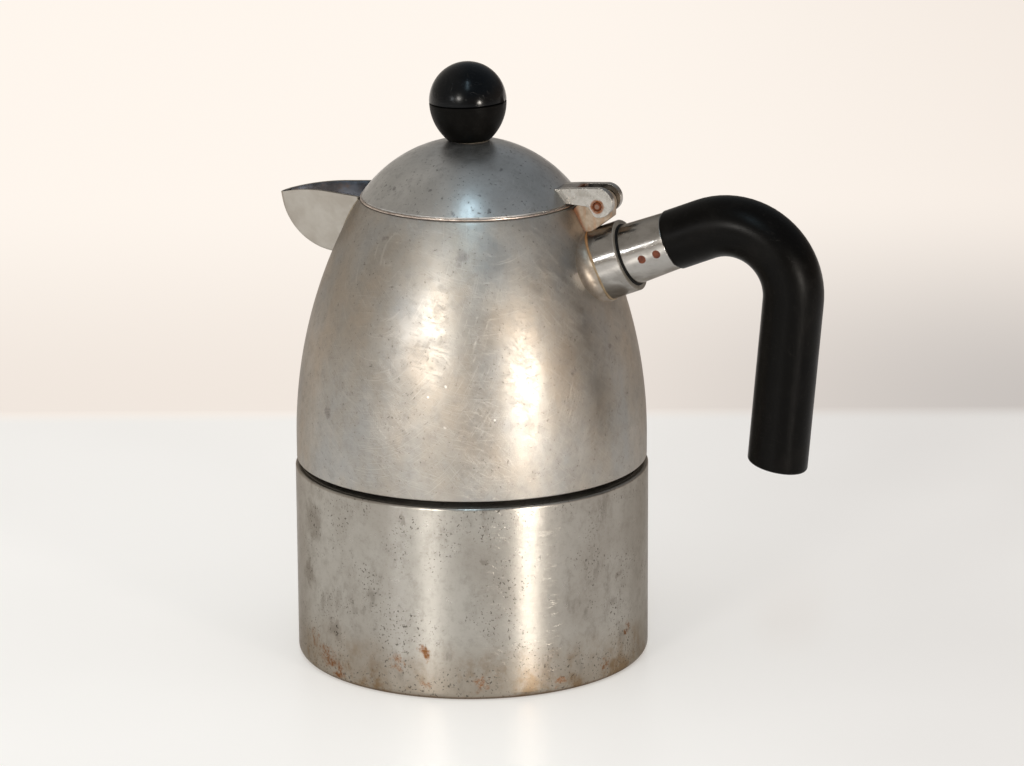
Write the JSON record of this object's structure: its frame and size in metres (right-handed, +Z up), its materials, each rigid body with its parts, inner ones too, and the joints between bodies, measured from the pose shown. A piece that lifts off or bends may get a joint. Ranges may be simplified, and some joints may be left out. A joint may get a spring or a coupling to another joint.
{
  "type": "stove-top coffee maker",
  "caption": "Stove-top coffee maker: straight boiler, screw-on egg-shaped collector with beak spout, hinged domed lid with ball knob, and a bent side handle.",
  "frame": {"origin": "centre of the boiler's flat bottom, on the surface it stands on", "axes": "+Z up along the pot's axis, +X towards the handle, -X towards the spout, the lid's hinge axis along Y"},
  "size_m": [0.1597, 0.1113, 0.1702],
  "materials": {
    "boiler_steel": "satin, worn, with stains near the bottom",
    "brass": "satin",
    "fibre_red": "matte",
    "bright_steel": "satin",
    "inner_alloy": "satin",
    "seal_rubber": "matte",
    "body_alloy": "satin, fine scratches",
    "pin_steel": "rusted",
    "polished_steel": "polished",
    "black_rubber": "matte",
    "grip_plastic": "satin black",
    "lid_alloy": "satin, small pits",
    "fibre_pale": "matte",
    "knob_plastic": "soft gloss"
  },
  "bodies": {
    "boiler": {"boiler": "boiler_steel", "boiler_neck": "boiler_steel", "valve_body": "brass", "valve_washer": "fibre_red", "valve_nut": "brass", "valve_spring": "bright_steel"},
    "poppet": {"valve_poppet": "bright_steel"},
    "funnel": {"funnel": "inner_alloy", "funnel_stem": "inner_alloy", "funnel_strainer": "inner_alloy"},
    "seal": {"gasket": "seal_rubber"},
    "filter": {"filter_plate": "inner_alloy"},
    "collector": {"collector_base": "body_alloy", "collector_body": "body_alloy", "column": "inner_alloy", "column_cap": "inner_alloy", "spout": "body_alloy", "hinge_lug": "body_alloy", "hinge_pin": "pin_steel", "handle_collar": "polished_steel", "collar_gasket": "black_rubber", "handle_ferrule": "polished_steel", "ferrule_pins": "pin_steel", "handle_stud": "bright_steel", "handle_grip": "grip_plastic"},
    "lid": {"lid": "lid_alloy", "lid_fork": "lid_alloy", "knob_washer": "fibre_pale", "knob_base": "knob_plastic", "knob_cap": "knob_plastic", "knob_insert": "brass", "knob_screw": "bright_steel"}
  },
  "joints": [
    {"name": "valve_open", "type": "slide", "parent": "boiler", "child": "poppet", "axis": [0, 1, 0], "range_m": [0, 0.0012], "stiffness_N_per_m": 1500, "springref_m": -0.002, "deforming": ["valve_spring"]},
    {"name": "funnel_lift", "type": "slide", "parent": "boiler", "child": "funnel", "axis": [0, 0, 1], "range_m": [0, 0.075]},
    {"name": "body_lift", "type": "slide", "parent": "funnel", "child": "seal", "axis": [0, 0, 1], "range_m": [0, 0.06]},
    {"name": "thread_rise", "type": "slide", "parent": "seal", "child": "filter", "axis": [0, 0, 1], "range_m": [0, 0.006]},
    {"name": "unscrew", "type": "hinge", "parent": "filter", "child": "collector", "pos_m": [0, 0, 0.06], "axis": [0, 0, 1], "range_deg": [0, 720]},
    {"name": "lid_hinge", "type": "hinge", "parent": "collector", "child": "lid", "pos_m": [0.0391, 0, 0.1323], "axis": [0, 1, 0], "range_deg": [0, 105]}
  ],
  "couplings": [
    {"joint": "thread_rise", "follows": "unscrew", "m_per_rad": 0.00047746}
  ]
}
